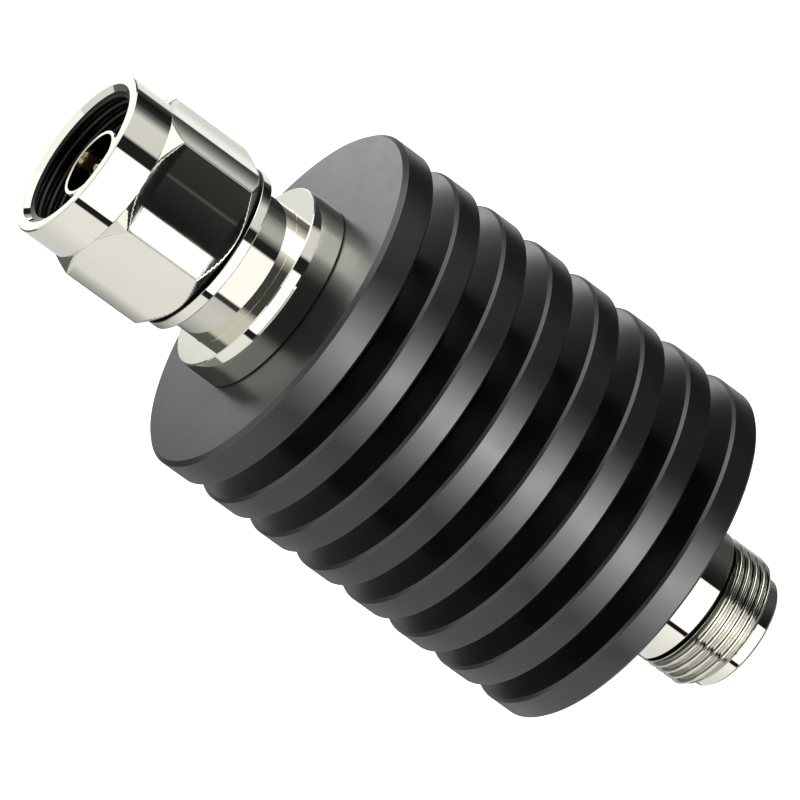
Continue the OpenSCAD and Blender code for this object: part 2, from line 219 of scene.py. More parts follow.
# %% [markdown]
# The plug's body is a second turned bar: a collar that seats on the heat sink, a neck, the journal
# that the nut turns on, with its ring groove, and the thin contact sleeve. Only the collar, the neck
# and the end of the sleeve show. The neck's foot is a sharp corner, so that collar and neck mirror
# each other. Polishing has eased the collar's front by a tenth of a millimetre, and that slight
# cone catches the white paper in front.

# %% Plug body
PLUG_LOW, SLEEVE_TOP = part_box("plug_body")[0].z / MM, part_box("plug_body")[1].z / MM
COLLAR_R, COLLAR_TOP, NECK_R, NECK_TOP = 11.03, 67.5, 8.2, 71.8
JOURNAL_R, JOURNAL_TOP, SLEEVE_R, SLEEVE_BORE_R = 6.25, 77.4, 4.05, 3.5
SPIGOT_R, BEAD_SEAT_R, BEAD_TOP = 8.955, 4.5, 75.6
SNAP_LOW, SNAP_HIGH, SNAP_SEAT_R = 73.87, 74.73, 5.57
EDGE_BREAK, COLLAR_BREAK, PLUG_ROUND = 0.3, 0.1, 0.05
EASED_LENGTH, EASED_DEPTH, EASED_ROUND = 1.4, 0.1, 9.0
plug_corners = [
    (BEAD_SEAT_R, PLUG_LOW), (SPIGOT_R - EDGE_BREAK, PLUG_LOW), (SPIGOT_R, PLUG_LOW + EDGE_BREAK),
    (SPIGOT_R, SINK_HIGH), (COLLAR_R - EDGE_BREAK / 2, SINK_HIGH),
    (COLLAR_R, SINK_HIGH + EDGE_BREAK / 2), (COLLAR_R, COLLAR_TOP - EASED_LENGTH),
    (COLLAR_R - EASED_DEPTH, COLLAR_TOP - COLLAR_BREAK),
    (COLLAR_R - EASED_DEPTH - COLLAR_BREAK, COLLAR_TOP), (NECK_R, COLLAR_TOP),
    (NECK_R, NECK_TOP), (JOURNAL_R, NECK_TOP), (JOURNAL_R, SNAP_LOW), (SNAP_SEAT_R, SNAP_LOW),
    (SNAP_SEAT_R, SNAP_HIGH), (JOURNAL_R, SNAP_HIGH), (JOURNAL_R, JOURNAL_TOP - EDGE_BREAK),
    (JOURNAL_R - EDGE_BREAK, JOURNAL_TOP), (SLEEVE_R, JOURNAL_TOP),
    (SLEEVE_R, SLEEVE_TOP - EDGE_BREAK / 2), (SLEEVE_R - EDGE_BREAK / 2, SLEEVE_TOP),
    (SLEEVE_BORE_R, SLEEVE_TOP), (SLEEVE_BORE_R, BEAD_TOP), (BEAD_SEAT_R, BEAD_TOP),
]
at_ease = np.all(np.isclose(plug_corners, (COLLAR_R, COLLAR_TOP - EASED_LENGTH)), axis=1)
outline, edge = broken(plug_corners, np.where(at_ease, EASED_ROUND, PLUG_ROUND))
plug_body = skin(
    "plug_body_turned", turned(*outline.T), "body", "plug_body", edge)

# %% [markdown]
# The jack has a real screw thread, 24 turns to the inch. Cutting a swept triangle from the body with
# a Boolean is slow and often leaves torn edges. Here the radius itself follows the thread: at each
# point of the grid the phase along the helix decides how deep the cut is. Plating and wear have
# rounded the crests, so the cut deepens slowly at first.

# %% Thread form
PITCH = 25.4 / 24
THREAD_DEPTH = 0.48 * PITCH
CREST, FLANK, CREST_POWER = 0.125, 0.354, 1.5


def thread_cut(height, angle):
    """Depth of a right-hand thread at each height (rows) and angle (columns).

    The phase is the fraction of height / pitch - angle / turn. From the middle of a crest the depth
    is 0 for half the crest's width, then rises over one flank as (way down the flank) to the power
    CREST_POWER, which rounds the crest, and stays at the full depth in the root.
    """
    phase = np.reshape(height, (-1, 1)) / PITCH - np.asarray(angle)[None] / (2 * np.pi)
    from_crest = np.abs(phase - np.round(phase))
    return THREAD_DEPTH * np.clip((from_crest - CREST / 2) / FLANK, 0, 1) ** CREST_POWER


# %% [markdown]
# The jack's outline has rows for the nose, the relief groove and the shank. Between nose and groove
# those rows give way to finely spaced ones that follow the thread, and the turned chamfers at both
# ends limit it, just as on a lathe. The thread's roots and the relief groove are marked for painted
# shade: there the nickel's colour is darkened as shade, and its roughness raised.

# %% Jack body
NOSE_R, NOSE_TOP, THREAD_R, THREAD_TOP = 6.7, 1.6, 7.925, 7.0
LEAD_BEVEL, END_BEVEL, ROOT_R, SHANK_LOW = 0.8, 0.1, 7.276, 7.4
FLANGE_LOW, FLANGE_TOP, JACK_BEAD_LOW = 18.4, 20.6, 11.05
JACK_BORE_R, JACK_BORE_TOP, MOUTH_BEVEL, JACK_ROUND = 4.075, 9.05, 0.5, 0.06
ROW_STEP, FIRST_ROW, LAST_ROW, CLOSE = 0.04, 0.08, 0.03, 0.01
ROOT_SHADE, LAST_ROOT_SHADE, ROOT_SLOPE, LAST_ROOT, LAST_ROOT_FADE = 0.3, 0.65, 2.2, 5.5, 0.7
jack_corners = [
    (JACK_BORE_R + MOUTH_BEVEL, 0), (NOSE_R - EDGE_BREAK, 0), (NOSE_R, EDGE_BREAK),
    (NOSE_R, NOSE_TOP), (THREAD_R - LEAD_BEVEL, NOSE_TOP), (THREAD_R, NOSE_TOP + LEAD_BEVEL),
    (THREAD_R, THREAD_TOP - END_BEVEL), (THREAD_R - END_BEVEL, THREAD_TOP), (ROOT_R, THREAD_TOP),
    (ROOT_R, SHANK_LOW), (THREAD_R - END_BEVEL, SHANK_LOW), (THREAD_R, SHANK_LOW + END_BEVEL),
    (THREAD_R, FLANGE_LOW), (SPIGOT_R, FLANGE_LOW), (SPIGOT_R, FLANGE_TOP),
    (BEAD_SEAT_R, FLANGE_TOP), (BEAD_SEAT_R, JACK_BEAD_LOW), (SLEEVE_BORE_R, JACK_BEAD_LOW),
    (SLEEVE_BORE_R, JACK_BORE_TOP), (JACK_BORE_R, JACK_BORE_TOP), (JACK_BORE_R, MOUTH_BEVEL),
]
outline, edge = broken(jack_corners, JACK_ROUND)
nose_rows = np.flatnonzero(outline[:, 1] < NOSE_TOP + JACK_ROUND)
before = nose_rows[nose_rows < len(outline) // 2].max() + 1
at_root = (outline[:, 1] >= THREAD_TOP) & (outline[:, 0] < ROOT_R + END_BEVEL)
after = np.flatnonzero(at_root).min()
levels = np.arange(NOSE_TOP + FIRST_ROW, THREAD_TOP - LAST_ROW, ROW_STEP)
lead_limit = THREAD_R - LEAD_BEVEL + levels - NOSE_TOP
end_limit = THREAD_R - END_BEVEL + THREAD_TOP - levels
limit = np.minimum(np.minimum(lead_limit, end_limit), THREAD_R)[:, None]
cut = np.minimum(limit, THREAD_R - thread_cut(levels, TURN))
radius = np.concatenate([
    np.repeat(outline[:before, :1], COLUMNS, 1), cut, np.repeat(outline[after:, :1], COLUMNS, 1),
])
height = np.concatenate([outline[:before, 1], levels, outline[after:, 1]])
edge = np.concatenate([edge[:before], np.zeros(len(levels)), edge[after:]])
in_relief = (height > THREAD_TOP - CLOSE) & (height < SHANK_LOW + CLOSE)
in_relief &= radius[:, 0] < THREAD_R - END_BEVEL
in_thread = np.isin(height, levels)[:, None]
depth = np.clip((THREAD_R - radius) / THREAD_DEPTH, 0, 1)
# Painted shade: the thread's roots, most of all the last ones, and the relief groove are darkened as
# their shade.
root = np.clip(1 - ROOT_SLOPE * (1 - depth), 0, 1)
last_root = np.clip((height - LAST_ROOT) / LAST_ROOT_FADE, 0, 1)[:, None]
root_shade = (ROOT_SHADE + LAST_ROOT_SHADE * last_root) * root
painted_shade = np.where(in_thread, root_shade, in_relief[:, None])
jack_body = skin(
    "jack_body_threaded", turned(radius, height), "body", "jack_body", edge, painted_shade)

# %% [markdown]
# The coupling nut is the part that takes the most skill. A hexagon bar is turned down to a ring at
# each end, and the turning tool leaves a cone on each corner, so every flat ends in a curved line.
# Beveling a six-sided cylinder can't give that curve. The radius of the hexagon and the radius of
# the cones are two formulas, and the nut is the smaller of them at every point; a soft minimum
# breaks the edge where they meet. The columns crowd together at the corners, and polishing has
# crowned the flats by a few hundredths of a millimetre.


# %% Nut outside
def soft_least(a, b, width):
    """Smaller of a and b, with the crease rounded where they differ by less than width."""
    share = np.clip(0.5 + 0.5 * (b - a) / width, 0, 1)
    return b + (a - b) * share - width * share * (1 - share)


NUT_LOW, NUT_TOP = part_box("coupling_nut")[0].z / MM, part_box("coupling_nut")[1].z / MM
RING_R, FLAT_R, HEX_LOW, HEX_TOP, HEX_CHAMFER = 9.6, 9.4, 73.35, 85.2, 1.3
CROWN, NOTCH, CORNER_SOFT, CONE_SOFT = 0.06, 0.3, 0.14, 0.07
END_ZONE, END_ROWS = HEX_CHAMFER + 0.5, 38
SIXTH, TWELFTH = np.pi / 3, np.pi / 6
CORNER_R = (FLAT_R - CROWN) / np.cos(TWELFTH)
offsets = np.radians([0.2, 0.45, 0.8, 1.3, 2.2, 3.6, 5.6, 8.2, 11.2, 14.5, 18, 22, 26])
sector = np.concatenate([[0], offsets, [TWELFTH], SIXTH - offsets[::-1]])
nut_turn = (np.arange(6)[:, None] * np.pi / 3 + sector).reshape(-1)
past_corner = (nut_turn + TWELFTH) % SIXTH - TWELFTH
from_flat = np.stack([past_corner - TWELFTH, past_corner + TWELFTH])
flats = (FLAT_R - CROWN * (np.tan(from_flat) / np.tan(TWELFTH)) ** 2) / np.cos(from_flat)
hexagon = soft_least(*flats, CORNER_SOFT)
near_end = np.concatenate([[0.004], np.linspace(0.03, END_ZONE, END_ROWS)])
hex_levels = np.concatenate([HEX_LOW + near_end, HEX_TOP - near_end[::-1]])
rear_cone = RING_R - NOTCH + hex_levels - HEX_LOW
front_cone = RING_R + (CORNER_R - RING_R) / HEX_CHAMFER * (HEX_TOP - hex_levels)
cone = np.minimum(rear_cone, front_cone)
hex_radius = soft_least(hexagon[None], cone[:, None], CONE_SOFT)
print("hexagon across flats:", 2 * FLAT_R, "mm, across corners:", round(2 * hexagon.max(), 2), "mm")

# %% [markdown]
# The rest of the nut is one closed outline: rear rim, front ring, flared mouth, thread cavity, web
# and the groove for the snap ring. The hexagon's rows go in between rim and ring, and the thread's
# rows below the mouth. A narrow notch behind the hexagon, the cone above it and the cavity are
# marked for painted shade: their colour is darkened as the shade in them, and their roughness raised.

# %% The whole nut, with its own thread
NUT_BORE_R, NUT_THREAD_R, MOUTH_R, WEB_TOP = 6.3, 7.975, 8.5, 76.65
SNAP_GROOVE_R, SNAP_GROOVE = 7.1, (73.7, 74.9)
FLARE_LOW, THREAD_END = NUT_TOP - (MOUTH_R - NUT_THREAD_R), 79.3
RUN_OUT, NUT_BREAK, NUT_ROUND, NUT_ROW_STEP, FLARE_GAP = 1.2, 0.12, 0.06, 0.055, 0.12
CAVITY_SHADE, CONE_SHADE, CONE_SHADE_FADE, NOTCH_REACH = 0.97, 0.9, 0.1, 0.16
nut_corners = [
    (NUT_BORE_R, NUT_LOW), (RING_R - NUT_BREAK, NUT_LOW), (RING_R, NUT_LOW + NUT_BREAK),
    (RING_R, NUT_TOP - NUT_BREAK), (RING_R - NUT_BREAK, NUT_TOP), (MOUTH_R, NUT_TOP),
    (NUT_THREAD_R, FLARE_LOW), (NUT_THREAD_R, WEB_TOP), (NUT_BORE_R, WEB_TOP),
    (NUT_BORE_R, SNAP_GROOVE[1]), (SNAP_GROOVE_R, SNAP_GROOVE[1]),
    (SNAP_GROOVE_R, SNAP_GROOVE[0]), (NUT_BORE_R, SNAP_GROOVE[0]),
]
outline = broken(nut_corners, NUT_ROUND)[0]
rim_end, flare_end = 3 * CORNER_ROWS, 7 * CORNER_ROWS
ring_step = [RING_R, HEX_TOP] + np.array([(-0.04, 0), (-0.012, 0.015), (0, 0.05), (0, 0.09)])
rim_step = [RING_R, HEX_LOW] + np.array([
    (0, -0.26), (0, -0.22), (-0.012, -0.18), (-0.04, -0.155), (0.03 - NOTCH, -0.03), (-NOTCH, 0),
])
thread_levels = np.arange(FLARE_LOW - FLARE_GAP, THREAD_END, -NUT_ROW_STEP)
fade = np.clip((thread_levels - THREAD_END) / RUN_OUT, 0, 1)[:, None]
ridge = THREAD_DEPTH - thread_cut(thread_levels, nut_turn)
thread_radius = NUT_THREAD_R - ridge * fade
radius_parts = [
    outline[:rim_end, :1], rim_step[:, :1], hex_radius, ring_step[:, :1],
    outline[rim_end:flare_end, :1], thread_radius, outline[flare_end:, :1],
]
radius = np.concatenate([
    np.broadcast_to(part, (len(part), len(nut_turn))) for part in radius_parts
])
height = np.concatenate([
    outline[:rim_end, 1], rim_step[:, 1], hex_levels, ring_step[:, 1],
    outline[rim_end:flare_end, 1], thread_levels, outline[flare_end:, 1],
])
# Painted shade: notch, thread cavity and rear cone get a darkened colour as their shade, and a rougher
# finish.
in_notch = (np.abs(height - HEX_LOW) < NOTCH_REACH) & (radius[:, 0] < RING_R)
in_cavity = (height > WEB_TOP) & (height < FLARE_LOW + CLOSE) & (radius[:, 0] < NUT_THREAD_R + CLOSE)
painted_shade = np.repeat((in_notch + CAVITY_SHADE * in_cavity)[:, None], len(nut_turn), 1)
hex_rows = rim_end + len(rim_step) + np.arange(len(hex_levels))
on_rear_cone = np.clip((hexagon - rear_cone[:, None]) / CONE_SHADE_FADE, 0, 1)
painted_shade[hex_rows] += CONE_SHADE * on_rear_cone
coupling_nut = skin(
    "coupling_nut_hexagon", turned(radius, height, nut_turn), "nut",
    "coupling_nut", painted_shade=painted_shade)

# %% [markdown]
# Inside the nut one looks down on the contact pin, the end of the contact sleeve and the gasket, and
# inside the jack on its white bead. They are small turned pieces. The pin ends in a point on the
# axis, so its end rows are closed by fans.

# %% Pin, gasket and beads
PIN_LOW, PIN_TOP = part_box("plug_pin")[0].z / MM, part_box("plug_pin")[1].z / MM
TAIL_R, LINE_R, TIP_R, SHOULDER, AXIS_R = 0.95, 1.52, 0.825, 82.9, 0.01
pin_corners = np.array([
    (AXIS_R, PIN_LOW), (TAIL_R, PIN_LOW), (TAIL_R, BEAD_TOP), (LINE_R, BEAD_TOP),
    (LINE_R, SHOULDER - EDGE_BREAK), (LINE_R - EDGE_BREAK, SHOULDER), (TIP_R, SHOULDER),
    (TIP_R, PIN_TOP - TIP_R), (0.35 * TIP_R, PIN_TOP - 0.1), (AXIS_R, PIN_TOP),
])
pin_rounds = np.array([0.001, 0.05, 0.05, 0.05, 0.1, 0.1, 0.1, 0.5, 0.3, 0.001])
outline, edge = broken(pin_corners, pin_rounds)
outline, edge = outline[CORNER_ROWS:-CORNER_ROWS], edge[CORNER_ROWS:-CORNER_ROWS]
plug_pin = skin(
    "plug_pin_turned", turned(*outline.T), "body", "plug_pin", edge, solid=True)


def washer(name, inner, outer, body, node, radius):
    """Flat ring between two radii at the node's own height, with rounded edges."""
    low, high = (corner.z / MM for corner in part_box(node))
    outline, edge = broken([(inner, low), (outer, low), (outer, high), (inner, high)], radius)
    return skin(name, turned(*outline.T), body, node, edge)


BEAD_R, TAIL_HOLE_R, GASKET_R, GASKET_HOLE_R = 4.47, 0.98, 5.95, 4.7
BEAD_ROUND, GASKET_ROUND = 0.1, 0.2
plug_gasket = washer(
    "plug_gasket_ring", GASKET_HOLE_R, GASKET_R, "body", "plug_gasket",
    GASKET_ROUND)
plug_bead = washer("plug_bead_disc", TAIL_HOLE_R, BEAD_R, "body", "plug_bead", BEAD_ROUND)
jack_bead = washer("jack_bead_disc", TAIL_HOLE_R, BEAD_R, "body", "jack_bead", BEAD_ROUND)

# %% [markdown]
# Materials come next. Colours are written as the sRGB hex values that a colour picker shows, and
# Blender's shaders want linear light, so one function turns them over. A second small function adds
# a node, sets it up and links it.


# %% Colour and node helpers
def linear(code):
    """Linear RGBA of an sRGB hex value.

    Each channel is c / 12.92 up to c = 0.04045, else ((c + 0.055) / 1.055) to the power 2.4.
    """
    c = np.array([int(code[i : i + 2], 16) for i in (1, 3, 5)]) / 255
    return (*np.where(c <= 0.04045, c / 12.92, ((c + 0.055) / 1.055) ** 2.4), 1.0)


def add_node(tree, kind, settings=None, inputs=None):
    """Adds a node with its properties; inputs are values or other nodes' outputs, by name or number."""
    node = tree.nodes.new(kind)
    for name, value in (settings or {}).items():
        setattr(node, name, value)
    for name, value in (inputs or {}).items():
        if isinstance(value, bpy.types.NodeSocket):
            tree.links.new(value, node.inputs[name])
        else:
            node.inputs[name].default_value = value
    return node


def start_material(name):
    """New material with its node tree, its Principled shader and the output of Object coordinates."""
    material = bpy.data.materials.new(name)
    material.use_nodes = True
    tree = material.node_tree
    shader = tree.nodes["Principled BSDF"]
    place = add_node(tree, "ShaderNodeTexCoord").outputs["Object"]
    return material, tree, shader, place


def per_mm(size):
    """Noise scale for features of that many millimetres, where Object coordinates are in metres."""
    return 1 / (size * MM)


# %% [markdown]
# A turning tool leaves fine rings: circles on a face, and lines round a wall. Both have the same
# cause, the tool's feed along the outline, so noise is read at the point (distance from the axis,
# height) and not at x, y and z.


# %% Turning marks
def tool_rings(tree, place, spacing):
    """Noise that changes with the distance from the axis and the height only; spacing is in mm."""
    flat = add_node(
        tree, "ShaderNodeVectorMath", {"operation": "MULTIPLY"}, {0: place, 1: (1, 1, 0)})
    distance = add_node(
        tree, "ShaderNodeVectorMath", {"operation": "LENGTH"}, {0: flat.outputs[0]})
    parts = add_node(tree, "ShaderNodeSeparateXYZ", None, {0: place})
    spot = add_node(
        tree, "ShaderNodeCombineXYZ", None,
        {"X": distance.outputs["Value"], "Y": parts.outputs["Z"]})
    noise = add_node(
        tree, "ShaderNodeTexNoise", {"noise_dimensions": "2D"},
        {"Vector": spot.outputs[0], "Scale": per_mm(spacing), "Detail": 2.0, "Roughness": 0.6})
    return noise.outputs["Fac"]


# %% [markdown]
# The nut, the collar and the jack are turned brass under bright nickel. Nickel is a metal, so it has
# no diffuse colour: its faint warm tint comes from the base colour of a metallic shader. Plating
# levels the tool rings but doesn't remove them, so they stay as a very weak bump, and a slow haze
# changes the roughness from place to place. The eye sees a mirror that is not quite perfect. Where
# an attribute marks a groove or cavity, the colour is painted dark as shade, and the roughness rises.

# %% Bright nickel plate
bright_nickel, tree, shader, place = start_material("bright nickel electroplate on turned brass")
shader.inputs["Metallic"].default_value = 1.0
haze = add_node(
    tree, "ShaderNodeTexNoise", None, {"Vector": place, "Scale": per_mm(5), "Detail": 4.0})
tint = add_node(
    tree, "ShaderNodeMix", {"data_type": "RGBA"},
    {0: haze.outputs["Fac"], 6: linear("#D0CEC3"), 7: linear("#DAD8CD")})
# Painted shade: where grooves and cavities are marked, the base colour is darkened to #23211E as their
# shade.
groove = add_node(tree, "ShaderNodeAttribute", {"attribute_name": "painted_shade"})
shaded_tint = add_node(
    tree, "ShaderNodeMix", {"data_type": "RGBA"},
    {0: groove.outputs["Fac"], 6: tint.outputs[2], 7: linear("#23211E")})
tree.links.new(shaded_tint.outputs[2], shader.inputs["Base Color"])
rings = tool_rings(tree, place, 0.22)
sheen = add_node(
    tree, "ShaderNodeMath", {"operation": "MULTIPLY_ADD"},
    {0: rings, 1: 0.06, 2: haze.outputs["Fac"]})
gloss = add_node(
    tree, "ShaderNodeMapRange", None,
    {"Value": sheen.outputs[0], "From Min": 0.3, "From Max": 0.75,
     "To Min": 0.012, "To Max": 0.026})
matted = add_node(
    tree, "ShaderNodeMath", {"operation": "MULTIPLY_ADD"},
    {0: groove.outputs["Fac"], 1: 0.3, 2: gloss.outputs[0]})
tree.links.new(matted.outputs[0], shader.inputs["Roughness"])
relief = add_node(
    tree, "ShaderNodeBump", None, {"Height": rings, "Strength": 0.006, "Distance": 0.02 * MM})
tree.links.new(relief.outputs[0], shader.inputs["Normal"])
print("material:", bright_nickel.name)

# %% [markdown]
# The heat sink is black anodised aluminium. The dyed oxide layer is clear and hard, so it shines a
# little like glass over a black ground, and the etched metal under it breaks that shine up. Oxide
# bends light more than glass, which is why its index is set. The layer is thinner on sharp edges,
# where the dye looks greyer: the attribute "edge" from the outline says where. The eye sees a deep
# black with broad, soft highlights and faint grey edges.

# %% Black anodised aluminium
OXIDE_INDEX = 1.72
black_anodise, tree, shader, place = start_material("satin black anodised aluminium")
shader.inputs["IOR"].default_value = OXIDE_INDEX
mottle = add_node(
    tree, "ShaderNodeTexNoise", None, {"Vector": place, "Scale": per_mm(2.4), "Detail": 5.0})
grain = add_node(
    tree, "ShaderNodeTexNoise", None, {"Vector": place, "Scale": per_mm(0.25), "Detail": 2.0})
dye = add_node(
    tree, "ShaderNodeMix", {"data_type": "RGBA"},
    {0: mottle.outputs["Fac"], 6: linear("#070707"), 7: linear("#0C0C0C")})
worn = add_node(tree, "ShaderNodeAttribute", {"attribute_name": "edge"})
thin = add_node(
    tree, "ShaderNodeMath", {"operation": "MULTIPLY"},
    {0: worn.outputs["Fac"], 1: mottle.outputs["Fac"]})
edged = add_node(
    tree, "ShaderNodeMix", {"data_type": "RGBA"},
    {0: thin.outputs[0], 6: dye.outputs[2], 7: linear("#4A4A4C")})
tree.links.new(edged.outputs[2], shader.inputs["Base Color"])
rings = tool_rings(tree, place, 0.3)
patchy = add_node(
    tree, "ShaderNodeMath", {"operation": "MULTIPLY_ADD"},
    {0: rings, 1: 0.5, 2: mottle.outputs["Fac"]})
gloss = add_node(
    tree, "ShaderNodeMapRange", None,
    {"Value": patchy.outputs[0], "From Min": 0.4, "From Max": 1.1, "To Min": 0.28, "To Max": 0.35})
tree.links.new(gloss.outputs[0], shader.inputs["Roughness"])
etched = add_node(
    tree, "ShaderNodeMath", {"operation": "MULTIPLY_ADD"},
    {0: grain.outputs["Fac"], 1: 0.6, 2: rings})
relief = add_node(
    tree, "ShaderNodeBump", None,
    {"Height": etched.outputs[0], "Strength": 0.08, "Distance": 0.02 * MM})
tree.links.new(relief.outputs[0], shader.inputs["Normal"])
print("material:", black_anodise.name)

# %% [markdown]
# Five more finishes sit deeper inside. Gold plate gives the contacts a warm, soft shine. Tumbled
# spring steel is a cloudy grey. The beads are a waxy white that takes the light softly, the gasket
# is a dark rubber without a highlight, and fired ceramic is chalky. Each differs in colour, gloss
# and grain, so one table holds them and a loop builds them: darker and paler colour, metal or not,
# least and most roughness, size of the grain in millimetres, strength of its bump.

# %% Finishes inside
inner_finishes = {
    "gold electroplate on turned brass": ("#A09272", "#B3A688", 1.0, 0.25, 0.35, 1.5, 0.05),
    "tempered spring steel, tumbled": ("#8A8A8A", "#A09F9C", 1.0, 0.25, 0.4, 0.6, 0.15),
    "turned fluoroplastic, waxy white": ("#E4E4E0", "#EFEEEA", 0.0, 0.38, 0.5, 2.0, 0.06),
    "moulded silicone rubber, matt": ("#2A2A2A", "#3A3938", 0.0, 0.6, 0.75, 0.4, 0.2),
    "fired alumina ceramic, matt": ("#DAD6CC", "#E6E2DA", 0.0, 0.5, 0.62, 0.3, 0.12),
}
finishes = {}
for name, (dark, pale, metal, smooth, rough, size, bump) in inner_finishes.items():
    finishes[name], tree, shader, place = start_material(name)
    shader.inputs["Metallic"].default_value = metal
    grain = add_node(
        tree, "ShaderNodeTexNoise", None, {"Vector": place, "Scale": per_mm(size), "Detail": 4.0})
    shade = add_node(
        tree, "ShaderNodeMix", {"data_type": "RGBA"},
        {0: grain.outputs["Fac"], 6: linear(dark), 7: linear(pale)})
    gloss = add_node(
        tree, "ShaderNodeMapRange", None,
        {"Value": grain.outputs["Fac"], "From Min": 0.3, "From Max": 0.7,
         "To Min": smooth, "To Max": rough})
    relief = add_node(
        tree, "ShaderNodeBump", None,
        {"Height": grain.outputs["Fac"], "Strength": bump, "Distance": 0.03 * MM})
    tree.links.new(shade.outputs[2], shader.inputs["Base Color"])
    tree.links.new(gloss.outputs[0], shader.inputs["Roughness"])
    tree.links.new(relief.outputs[0], shader.inputs["Normal"])
gold, spring_steel, fluoroplastic, rubber, alumina = finishes.values()
print("materials inside:", list(finishes))

# %% [markdown]
# The ceramic chip carries a printed resistor film with a metal pad at each end. They are a few
# hundredths of a millimetre thick, so they are colour only: the film where the point is near the
# middle line, a pad where it is far from the middle of the length.

# %% Film and pads on the chip
PAD_FROM, FILM_HALF_WIDTH = 4.6, 3.2
tree = alumina.node_tree
shader = tree.nodes["Principled BSDF"]
ceramic = shader.inputs["Base Color"].links[0].from_socket
place = add_node(tree, "ShaderNodeTexCoord").outputs["Object"]
CHIP_LOW, CHIP_HIGH = (corner.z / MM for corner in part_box("attenuator_chip"))
parts = add_node(tree, "ShaderNodeSeparateXYZ", None, {0: place})
from_middle = add_node(
    tree, "ShaderNodeMath", {"operation": "SUBTRACT"},
    {0: parts.outputs["Z"], 1: (CHIP_LOW + CHIP_HIGH) / 2 * MM})
lengthwise = add_node(
    tree, "ShaderNodeMath", {"operation": "ABSOLUTE"}, {0: from_middle.outputs[0]})
on_pad = add_node(
    tree, "ShaderNodeMath", {"operation": "GREATER_THAN"},
    {0: lengthwise.outputs[0], 1: PAD_FROM * MM})
sideways = add_node(tree, "ShaderNodeMath", {"operation": "ABSOLUTE"}, {0: parts.outputs["X"]})
on_film = add_node(
    tree, "ShaderNodeMath", {"operation": "LESS_THAN"},
    {0: sideways.outputs[0], 1: FILM_HALF_WIDTH * MM})
filmed = add_node(
    tree, "ShaderNodeMix", {"data_type": "RGBA"},
    {0: on_film.outputs[0], 6: ceramic, 7: linear("#34322F")})
padded = add_node(
    tree, "ShaderNodeMix", {"data_type": "RGBA"},
    {0: on_pad.outputs[0], 6: filmed.outputs[2], 7: linear("#BDB9B0")})
tree.links.new(padded.outputs[2], shader.inputs["Base Color"])
print("chip film from", round(CHIP_LOW, 2), "to", round(CHIP_HIGH, 2), "mm")

# %% [markdown]
# Eight pieces have a new skin. The other twelve are hidden inside and keep their CAD mesh, so they
# are looked up by their node's name. Every piece gets a finish, seen or not, because a user of the
# model may take it apart.

# %% Give each piece its finish
dressed = {
    bright_nickel: [
        plug_body, jack_body, coupling_nut, "plug_bushing", "jack_bushing", "carrier_base",
        "carrier_cover",
    ],
    black_anodise: [heat_sink],
    gold: [
        plug_pin, "input_conductor", "output_conductor", "input_tab", "output_tab", "jack_socket",
    ],
    spring_steel: ["nut_snap_ring", "carrier_screws"],
    fluoroplastic: [plug_bead, jack_bead],
    rubber: [plug_gasket],
    alumina: ["attenuator_chip"],
}
for material, members in dressed.items():
    for member in members:
        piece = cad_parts[member] if isinstance(member, str) else member
        piece.data.materials.clear()
        piece.data.materials.append(material)
print("pieces dressed:", sum(map(len, dressed.values())))

# %% [markdown]
# The camera is a long lens, almost a metre away, twenty degrees above the part, and turned on its
# side, so that the part lies across the picture with its plug up and to the left. The camera's three
# axes are worked out from those angles and set as its matrix, which is easier to check than a row of
# Euler angles.

# %% Camera
LENS, SENSOR, DISTANCE = 382.3, 36.0, 0.877
FACING, ELEVATION = np.radians(-102), np.radians(20.2)
AIM_HEIGHT, ASIDE, UP_IN_PICTURE = 45.9, 0.96, (-0.8087, 0.5882)
level_back = np.array([np.cos(FACING), np.sin(FACING), 0])
back = level_back * np.cos(ELEVATION) + np.array([0, 0, np.sin(ELEVATION)])
level_right = np.cross([0, 0, 1], level_back)
level_up = np.cross(back, level_right)
sideward, upward = UP_IN_PICTURE
right = upward * level_right + sideward * level_up
up = -sideward * level_right + upward * level_up
aim = np.array([0, 0, AIM_HEIGHT * MM]) - ASIDE * MM * level_right
camera = bpy.data.objects.new("camera", bpy.data.cameras.new("camera"))
camera.data.lens, camera.data.sensor_width = LENS, SENSOR
camera.data.clip_start, camera.data.clip_end = 0.05, 20
pose = np.eye(4)
pose[:3, 0], pose[:3, 1], pose[:3, 2], pose[:3, 3] = right, up, back, aim + back * DISTANCE
camera.matrix_world = Matrix(pose)
bpy.context.scene.collection.objects.link(camera)
bpy.context.scene.camera = camera
print("camera at", [round(x, 3) for x in camera.location])

# %% [markdown]
# Bright metal shows its surroundings and little else, so the surroundings are the light. The part
# stands on a pale floor that glows a little, like a light table, which keeps shadows soft. Round it
# hangs a tent of graded paper that is seen only in reflections: white in front, cream at the sides,
# with narrow black strips between, as a photographer adds to give metal its dark lines. The
# brightness of the paper is an attribute, so one mesh can fade from light to dark.


# %% Glowing sheets
def stage_sheet(name, points, glow, paper):
    """Open sheet over a grid of points; glow is its brightness at each point."""
    rows, columns = points.shape[:2]
    here = np.arange(rows * columns).reshape(rows, columns)
    quads = np.stack([here[:-1, :-1], here[:-1, 1:], here[1:, 1:], here[1:, :-1]], -1)
    mesh = bpy.data.meshes.new(name)
    mesh.from_pydata(points.reshape(-1, 3).tolist(), [], quads.reshape(-1, 4).tolist())
    values = np.broadcast_to(glow, (rows, columns)).ravel()
    mesh.attributes.new("glow", "FLOAT", "POINT").data.foreach_set("value", values)
    mesh.materials.append(paper)
    sheet = bpy.data.objects.new(name, mesh)
    bpy.context.scene.collection.objects.link(sheet)
    return sheet


